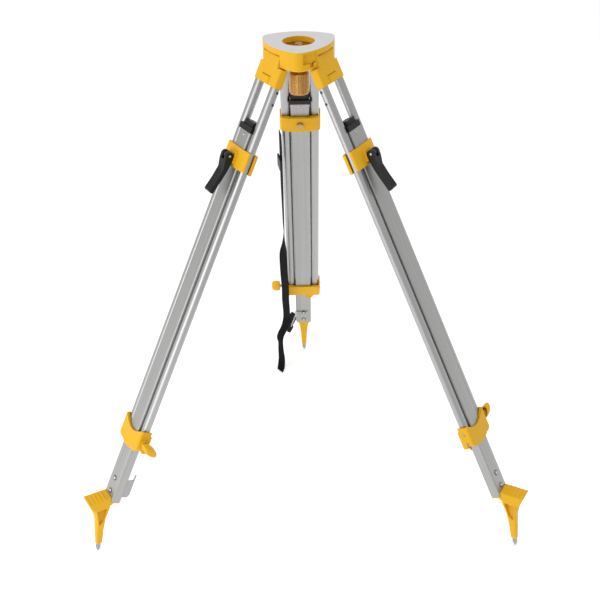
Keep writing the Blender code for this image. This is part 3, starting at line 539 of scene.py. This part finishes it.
def swing_arm_and_bush():
    for node, body_name, material in (("swing_arm", "swing_arm", ZINC), ("screw_bush", "screw_slider", ZINC),
                                      ("arm_pivot_screw", "head", ZINC)):
        mesh = shaded(f"{node}_finished", soften(cad_copy(node, HEAD_FRAME), 0.0004), (material,))
        place(f"{node}_finished", mesh, HEAD_FRAME, body_name, [node])


def screw_thread():
    """A rolled screw thread as one helical skin."""
    sides = 48
    rows_per_pitch = 10
    bottom = -THREAD_BOTTOM
    rows = round((-THREAD_TOP - bottom) / THREAD_PITCH * rows_per_pitch)
    rings = []
    for row in range(rows + 1):
        height = bottom + (-THREAD_TOP - bottom) * row / rows
        ring = []
        for index in range(sides):
            angle = math.tau * index / sides
            phase = (height / THREAD_PITCH - index / sides) % 1.0
            depth = THREAD_DEPTH * abs(2.0 * phase - 1.0)
            ends = min(1.0, (rows - row) / 8.0 + 0.25)
            radius = (THREAD_RADIUS - depth) * (0.86 + 0.14 * ends)
            ring.append((radius * math.cos(angle), radius * math.sin(angle), height))
        rings.append(ring)
    return loft(rings)


def fixing_screw():
    """The 5/8 inch brass screw with its plated collar, and its faceted brass knob."""
    shaft = turned([(NECK_RADIUS, -0.0353), (NECK_RADIUS, -COLLAR_TOP + 0.0005), (0.0158, -COLLAR_TOP),
                    (0.0176, -COLLAR_TOP - 0.0008), (COLLAR_RADIUS, -COLLAR_TOP - 0.0020),
                    (COLLAR_RADIUS, -COLLAR_BOTTOM + 0.0016), (0.0174, -COLLAR_BOTTOM + 0.0002),
                    (0.0160, -COLLAR_BOTTOM), (NECK_RADIUS, -COLLAR_BOTTOM), (NECK_RADIUS, -0.0890),
                    (0.0050, -0.0900)], segments=64)
    thread = screw_thread()
    for face in thread.faces:
        face.material_index = 1
    mesh = shaded("fixing_stud_finished", merge([shaft, thread]), (CHROME, BRASS), 50)
    place("fixing_stud_finished", mesh, HEAD_FRAME, "fixing_screw", ["fixing_stud"])
    count = KNOB_FLUTES * 10

    def ring(radius, height, groove):
        facet = math.tau / KNOB_FLUTES
        points = []
        for index in range(count):
            angle = math.tau * index / count
            flat = math.cos(facet / 2) / math.cos(angle % facet - facet / 2) if groove else 1.0
            cut = (0.5 + 0.5 * math.cos(KNOB_FLUTES * angle)) ** 12
            local = radius * flat - groove * cut
            points.append((local * math.cos(angle), local * math.sin(angle), height))
        return points

    bore = NECK_RADIUS + GAP
    rings = [ring(bore, -0.0905, 0.0), ring(bore, -KNOB_TOP, 0.0), ring(0.0150, -KNOB_TOP, 0.0),
             ring(0.0166, -KNOB_TOP - 0.0006, 0.0), ring(0.0196, -KNOB_TOP - 0.0040, 0.0004),
             ring(0.0204, -KNOB_TOP - 0.0052, 0.0010), ring(KNOB_RADIUS, -KNOB_TOP - 0.0068, 0.0013),
             ring(KNOB_RADIUS, -KNOB_BOTTOM + 0.0042, 0.0013), ring(0.0203, -KNOB_BOTTOM + 0.0026, 0.0010),
             ring(0.0190, -KNOB_BOTTOM + 0.0008, 0.0003), ring(0.0182, -KNOB_BOTTOM, 0.0),
             ring(0.0120, -KNOB_BOTTOM, 0.0), ring(0.0110, -KNOB_BOTTOM + 0.0015, 0.0),
             ring(0.0020, -KNOB_BOTTOM + 0.0015, 0.0)]
    knob = shaded("fixing_knob_finished", loft(rings), (BRASS,), 35)
    place("fixing_knob_finished", knob, HEAD_FRAME, "fixing_screw", ["fixing_knob"])


# ---------------------------------------------------------------- legs

def on_each_leg(piece, mesh, body, spaces=None, replaces=None):
    """Places one shared mesh on all three legs."""
    spaces = spaces or LEG_FRAMES
    for name in LEGS:
        nodes = [f"{node}_{name}" for node in (replaces if replaces is not None else [piece])]
        place(f"{piece}_{name}_finished", mesh, spaces[name], f"{body}_{name}", nodes)


def leg_copy(piece):
    return cad_copy(f"{piece}_back", LEG_FRAMES["back"])


def leg_cap():
    """Cap casting with a slit in its outer face and a raised tab below it."""
    tab = box((CAP_FACE - 0.0015, -0.0140, -0.0806), (CAP_FACE + 0.0013, 0.0140, -0.0672))
    slit = box((CAP_FACE - 0.0035, -0.0170, -0.0655), (CAP_FACE + 0.0035, 0.0170, -0.0642))
    body = soften(carve(leg_copy("leg_cap"), add=[tab], cut=[slit]), 0.0009)
    on_each_leg("leg_cap", shaded("leg_cap_finished", body, (YELLOW,)), "upper_leg")


def rails():
    for side in ("left", "right"):
        body = soften(leg_copy(f"rail_{side}"), 0.0004, 2, 50)
        mesh = shaded(f"rail_{side}_finished", body, (RAIL_METAL,), 50)
        on_each_leg(f"rail_{side}", mesh, "upper_leg")


def pan_head(start, direction, radius, height, drive=True):
    """A domed screw head with a cross recess, standing on a face."""
    profile = [(radius * 0.92, -0.0004), (radius, 0.0)]
    for step in range(1, 6):
        angle = math.radians(90 * step / 6)
        profile.append((radius * (0.25 + 0.75 * math.cos(angle)), height * math.sin(angle)))
    profile.append((radius * 0.2, height))
    head = turned(profile, segments=32)
    if drive:
        cuts = [box((-radius * 0.55, -0.0004, height * 0.45), (radius * 0.55, 0.0004, height * 2)),
                box((-0.0004, -radius * 0.55, height * 0.45), (0.0004, radius * 0.55, height * 2))]
        head = carve(head, cut=cuts)
    turn = Vector(direction).to_track_quat("Z", "Y").to_matrix().to_4x4()
    bmesh.ops.transform(head, matrix=Matrix.Translation(start) @ turn, verts=head.verts)
    return head


def leg_fasteners():
    """Screws of the cap and rivets of the lower clamp, on the fixed part of each leg."""
    screws = []
    for side in (-1, 1):
        for station in RAIL_SCREW_STATIONS:
            screws.append(pan_head((-0.0020, side * (LEG_HALF + 0.0001), -station), (0, side, 0),
                                   0.0028, 0.0016))
    mesh = shaded("rail_screws", merge(screws), (BLACK_STEEL,), 45)
    on_each_leg("rail_screws", mesh, "upper_leg", replaces=[])
    rivets = [pan_head((0.0, -CLAMP_HALF - 0.0001, -station), (0, -1, 0), 0.0030, 0.0017, False)
              for station in CLAMP_RIVET_STATIONS]
    mesh = shaded("collar_rivets", merge(rivets), (ZINC,), 45)
    on_each_leg("collar_rivets", mesh, "upper_leg", replaces=[])


def lower_clamp():
    """Lower clamp casting, with a hollow in the small pointed lug on its inner face."""
    hollow = [(-0.0070, CLAMP_END), (-0.0165, CLAMP_END + 0.014), (-0.0260, CLAMP_END)]
    body = carve(leg_copy("lower_clamp"), cut=[through_leg(hollow, -0.0160, -0.0138)])
    mesh = shaded("lower_clamp_finished", soften(body, 0.0008), (YELLOW,))
    on_each_leg("lower_clamp", mesh, "upper_leg")


def wing_screw():
    """The grey stud with a chamfered end, and the moulded grip on it."""
    stud = turned([(0.0034, 0.0), (0.0040, 0.0008), (0.0040, WING_STUD_LENGTH)],
                  (0, WING_STUD_START, 0), (0, 1, 0), 32)
    on_each_leg("wing_stud", shaded("wing_stud_finished", stud, (ZINC,)), "wing_screw", WING_FRAMES)
    grip = soften(cad_copy("wing_knob_back", WING_FRAMES["back"]), 0.0007)
    mesh = shaded("wing_knob_finished", grip, (YELLOW,), 50)
    on_each_leg("wing_knob", mesh, "wing_screw", WING_FRAMES)


def rivet(face, side, station):
    """A bright dome on a dark disc that paints the shade of the recess around the rivet: its index in the
    materials is 0, and the disc's is 1.
    """
    dome = pan_head((face + side * 0.0006, 0, -station), (side, 0, 0), 0.0038, 0.0017, False)
    # Painted shade: this dark disc round the dome stands for the shade in the rivet's recess
    recess_shade_disc = rod(0.0060, (face - side * 0.0002, 0, -station), (face + side * 0.0007, 0, -station), 32)
    for item in recess_shade_disc.faces:
        item.material_index = 1
    return [dome, recess_shade_disc]


def inner_leg():
    body = soften(leg_copy("inner_leg"), 0.0005, 2, 50)
    mesh = shaded("inner_leg_finished", body, (INNER_METAL,), 50)
    on_each_leg("inner_leg", mesh, "lower_leg")
    screws = [pan_head((side * (INNER_HALF_DEPTH + 0.0001), 0, -GUIDE_SCREW_STATION), (side, 0, 0),
                       0.0030, 0.0015) for side in (-1, 1)]
    for station in RIVET_STATIONS:
        for side in (-1, 1):
            screws += rivet(side * INNER_HALF_DEPTH, side, station)
    # The second material is the painted recess shade around the rivets
    mesh = shaded("inner_leg_rivets", merge(screws), (CHROME, RIVET_RECESS_SHADE), 45)
    on_each_leg("inner_leg_rivets", mesh, "lower_leg", replaces=[])


def guide_block():
    body = soften(leg_copy("guide_block"), 0.0008)
    mesh = shaded("guide_block_finished", body, (PLASTIC,))
    on_each_leg("guide_block", mesh, "lower_leg")


def quick_clamp():
    """Both jaws, the eye bolt with its eye blackened, and the lever's pin."""
    for piece, body in (("clamp_jaw_outer", "lower_leg"), ("clamp_jaw_inner", "jaw")):
        mesh = shaded(f"{piece}_finished", soften(leg_copy(piece), 0.0009), (YELLOW,))
        on_each_leg(piece, mesh, body)
    bolt = soften(leg_copy("clamp_bolt"), 0.0006)
    for face in bolt.faces:
        face.material_index = 1 if face.calc_center_median().x > 0 else 0
    mesh = shaded("clamp_bolt_finished", bolt, (PASSIVATED, BLACK_STEEL))
    on_each_leg("clamp_bolt", mesh, "jaw")
    pin = soften(leg_copy("lever_pin"), 0.0004)
    on_each_leg("lever_pin", shaded("lever_pin_finished", pin, (CHROME,)), "jaw")


def clamp_lever():
    """Moulded lever with finger ridges on the outer side of its kinked end."""
    body = cad_copy("clamp_lever_back", LEVER_FRAMES["back"])
    start = Vector((0.0042, 0, -0.0310))
    end = Vector((0.0150, 0, -0.0760))
    ahead = (end - start).normalized()
    outward = Vector((-ahead.z, 0, ahead.x))
    if outward.x < 0:
        outward.negate()
    cuts = []
    for index in range(9):
        middle = start + (end - start) * (index + 1) / 10
        corners = [middle + ahead * a + outward * b for a, b in
                   ((-0.0011, -0.0009), (0.0011, -0.0009), (0.0019, 0.004), (-0.0019, 0.004))]
        cuts.append(loft([[(c.x, side, c.z) for c in corners] for side in (-0.0095, 0.0095)]))
    mesh = shaded("clamp_lever_finished", soften(carve(body, cut=cuts), 0.0009, 3), (PLASTIC,))
    on_each_leg("clamp_lever", mesh, "lever", LEVER_FRAMES)


def foot():
    """Cast foot with ribs on its step; all its corners are filleted."""
    adds = []
    outer_top = leg_point(TIP_RADIAL + 0.0095, 0.1465)
    inner_top = (INNER_HALF_DEPTH + GAP, 1.031)
    for index in range(5):
        share = 0.28 + 0.165 * index
        x = inner_top[0] + (outer_top[0] - inner_top[0]) * share
        station = inner_top[1] + (outer_top[1] - inner_top[1]) * share
        rib = [(x - 0.0014, station + 0.002), (x - 0.0006, station - 0.0018), (x + 0.0006, station - 0.0018),
               (x + 0.0014, station + 0.002)]
        adds.append(across_leg(rib, -0.0180, 0.0180))
    body = carve(leg_copy("foot"), add=adds)
    body = remeshed(body, 0.0009, 4)
    on_each_leg("foot", shaded("foot_finished", body, (YELLOW,), 60), "lower_leg")
    point = soften(leg_copy("foot_point"), 0.0006)
    on_each_leg("foot_point", shaded("foot_point_finished", point, (ZINC,)), "lower_leg")


def transport_hook():
    body = soften(cad_copy("transport_hook", LEG_FRAMES["left"]), 0.0004)
    mesh = shaded("transport_hook_finished", body, (ZINC,))
    place("transport_hook_finished", mesh, LEG_FRAMES["left"], "lower_leg_left", ["transport_hook"])


# ---------------------------------------------------------------- strap

# The strap's centre line down to the buckle, in leg space: (x, y, station, twist in degrees), where
# twist 0 has the strap's width along X and 90 has it along Y.
STRAP_ROUTE = (
    (-0.0150, 0.0440, 0.2620, 14), (-0.0195, 0.0436, 0.300, 16), (-0.0250, 0.0436, 0.350, 16),
    (-0.0320, 0.0438, 0.420, 16), (-0.0370, 0.0438, 0.490, 12), (-0.0400, 0.0438, 0.560, 8),
    (-0.0415, 0.0435, 0.598, 4), (-0.0425, 0.0445, 0.640, 30), (-0.0430, 0.0475, 0.673, 68),
    (-0.0415, 0.0480, 0.715, 76), (-0.0395, 0.0475, 0.780, 74), (-0.0370, 0.0462, 0.835, 72),
    (-0.0350, 0.0470, 0.890, 74), (-0.0330, 0.0462, 0.930, 72), (-0.0320, 0.0458, 0.960, 70),
)
# From there the loose end falls to the floor: (y, distance from the head's axis, height, twist).
TAIL_ROUTE = (
    (0.0465, 0.4430, 0.1640, 68), (0.0500, 0.4425, 0.1450, 66), (0.0555, 0.4425, 0.1280, 62),
    (0.0625, 0.4450, 0.1110, 62), (0.0662, 0.4480, 0.0950, 60), (0.0650, 0.4480, 0.0780, 40),
    (0.0645, 0.4470, 0.0550, 48), (0.0630, 0.4460, 0.0310, 60), (0.0640, 0.4440, 0.0130, 76),
    (0.0655, 0.4385, 0.0032, 90), (0.0670, 0.4310, 0.0016, 90), (0.0685, 0.4255, 0.0016, 90),
)


def smooth_route(points, steps):
    """Catmull-Rom points through a list of tuples of any length."""
    padded = [points[0], *points, points[-1]]
    route = []
    for index in range(1, len(padded) - 2):
        before, start, end, after = padded[index - 1:index + 3]
        for step in range(steps):
            t = step / steps
            route.append(tuple(
                0.5 * (2 * b + (c - a) * t + (2 * a - 5 * b + 4 * c - d) * t ** 2
                       + (3 * b - a - 3 * c + d) * t ** 3)
                for a, b, c, d in zip(before, start, end, after)))
    route.append(tuple(points[-1]))
    return route


def strap_route():
    """Centre points and width directions of the whole strap, in the back leg's space."""
    route = smooth_route(STRAP_ROUTE, 8)
    for y, radial, height, twist in smooth_route(TAIL_ROUTE, 8):
        x, station = leg_point(radial, height)
        route.append((x, y, station, twist))
    points = [Vector((x, y, -station)) for x, y, station, twist in route]
    angles = [math.radians(twist) for x, y, station, twist in route]
    return points, [Vector((math.cos(angle), math.sin(angle), 0)) for angle in angles]


def strap_band(points, widths):
    """A woven band with rounded selvedges, and its own width and length stored for the weave."""
    half = STRAP_WIDTH / 2
    thick = STRAP_THICKNESS / 2
    edge = [(-1.0, 0.0), (-0.97, 0.8), (-0.85, 1.0), (-0.4, 0.9), (0.0, 0.9), (0.4, 0.9), (0.85, 1.0),
            (0.97, 0.8), (1.0, 0.0)]
    section = [(half * u, -thick * v) for u, v in edge] + [(half * u, thick * v) for u, v in edge[-2:0:-1]]
    bm = bmesh.new()
    layer = bm.verts.layers.float_vector.new("weave")
    rows = []
    length = sum((after - before).length for before, after in zip(points, points[1:]))
    travelled = 0.0
    for index, point in enumerate(points):
        before = points[max(index - 1, 0)]
        after = points[min(index + 1, len(points) - 1)]
        travelled += (point - before).length
        slant = STRAP_SLANT * max(0.0, 1.0 - (length - travelled) / SLANT_LENGTH)
        ahead = (after - before).normalized()
        across = (widths[index] - ahead * widths[index].dot(ahead)).normalized()
        normal = across.cross(ahead)
        row = []
        for u, v in section:
            vertex = bm.verts.new(point + across * u + normal * v - ahead * (slant * u / half))
            vertex[layer] = (u, travelled, v)
            row.append(vertex)
        rows.append(row)
    for low, high in zip(rows, rows[1:]):
        for index in range(len(section)):
            after = (index + 1) % len(section)
            bm.faces.new((low[index], low[after], high[after], high[index]))
    bm.faces.new(rows[0])
    bm.faces.new(rows[-1])
    bmesh.ops.recalc_face_normals(bm, faces=bm.faces)
    return bm, length


def strap_ring(space):
    """Grey bracket plate with its rivets, and the bright wire loop on it."""
    plate_face = -(INNER_HALF_DEPTH + GAP + 0.0015)
    body = soften(cad_copy("strap_ring", space), 0.0004)
    for face in body.faces:
        if face.calc_center_median().x > plate_face - 0.0005:
            face.material_index = 2
    rivets = []
    for station in RIVET_STATIONS:
        rivets += rivet(plate_face, -1, station)
    # The second material is the painted recess shade around the plate's rivets
    mesh = shaded("strap_ring_finished", merge([body, *rivets]), (CHROME, RIVET_RECESS_SHADE, INNER_METAL))
    return place("strap_ring_finished", mesh, space, "lower_leg_back", ["strap_ring"])


def strap():
    points, widths = strap_route()
    band, length = strap_band(points, widths)
    space = LEG_FRAMES["back"]
    piece = place("strap_finished", shaded("strap_finished", band, (WEBBING,), 60), space,
                  "lower_leg_back", ["strap"])
    for node in ("strap_slider", "strap_clip"):
        body = soften(cad_copy(node, space), 0.0008, 3)
        mesh = shaded(f"{node}_finished", body, (PLASTIC,))
        place(f"{node}_finished", mesh, space, "lower_leg_back", [node])
    strap_ring(space)


# ---------------------------------------------------------------- stage

def camera():
    data = bpy.data.cameras.new("camera")
    data.lens = CAMERA_LENS
    data.sensor_width = 36.0
    item = bpy.data.objects.new("camera", data)
    bpy.context.scene.collection.objects.link(item)
    spot = Vector((SCREW_TOP.x, SCREW_TOP.y, 0.0)) + Vector(CAMERA_PLACE)
    pan = Matrix.Rotation(math.radians(CAMERA_PAN), 4, "Z")
    pitch = Matrix.Rotation(math.radians(90 - CAMERA_PITCH), 4, "X")
    roll = Matrix.Rotation(math.radians(-CAMERA_ROLL), 4, "Z")
    item.matrix_world = Matrix.Translation(spot) @ pan @ pitch @ roll
    bpy.context.scene.camera = item


def area_light(name, spot, target, size, power):
    data = bpy.data.lights.new(name, "AREA")
    data.shape = "RECTANGLE"
    data.size, data.size_y = size
    data.energy = power
    item = bpy.data.objects.new(name, data)
    bpy.context.scene.collection.objects.link(item)
    item.location = spot
    item.rotation_euler = (Vector(target) - Vector(spot)).to_track_quat("-Z", "Y").to_euler()


def floor_sheet(name, outline, top, glow):
    """A flat sheet of pale floor that may glow a little, as an evenly lit studio floor does."""
    finish = Finish(name, (0.85, 0.85, 0.85), 0.0, 0.9)
    finish.shader.inputs["Emission Color"].default_value = (1.0, 1.0, 1.0, 1.0)
    finish.shader.inputs["Emission Strength"].default_value = glow
    mesh = to_mesh(name, loft([[(x, y, z) for x, y in outline] for z in (top - 0.01, top)]))
    mesh.materials.append(finish.material)
    floor = bpy.data.objects.new(name, mesh)
    bpy.context.scene.collection.objects.link(floor)


def studio():
    """A glowing white sweep, an equally pale floor around it, and two soft boxes."""
    sweep = [(-7, -3.0), (0.25, -3.0), (0.25, -0.6), (7, -0.6), (7, 9), (-7, 9)]
    floor_sheet("pale_floor", sweep, 0.0, 0.35)
    floor_sheet("far_floor", [(-20, -20), (20, -20), (20, 20), (-20, 20)], -0.012, 0.0)
    world = bpy.data.worlds.new("studio")
    bpy.context.scene.world = world
    world.use_nodes = True
    world.node_tree.nodes["Background"].inputs["Color"].default_value = (1.0, 1.0, 1.0, 1.0)
    world.node_tree.nodes["Background"].inputs["Strength"].default_value = 0.72
    area_light("key", (-2.1, -1.7, 1.1), (0, 0, 0.6), (2.6, 1.8), 30.0)
    area_light("top", (0.3, 0.2, 3.6), (0, 0, 0.4), (2.5, 2.5), 25.0)
    bpy.context.scene.view_settings.view_transform = "Standard"


def main():
    tripod_head()
    hinge_pins()
    swing_arm_and_bush()
    fixing_screw()
    leg_cap()
    rails()
    leg_fasteners()
    lower_clamp()
    wing_screw()
    inner_leg()
    guide_block()
    quick_clamp()
    clamp_lever()
    foot()
    transport_hook()
    strap()
    camera()
    studio()


main()
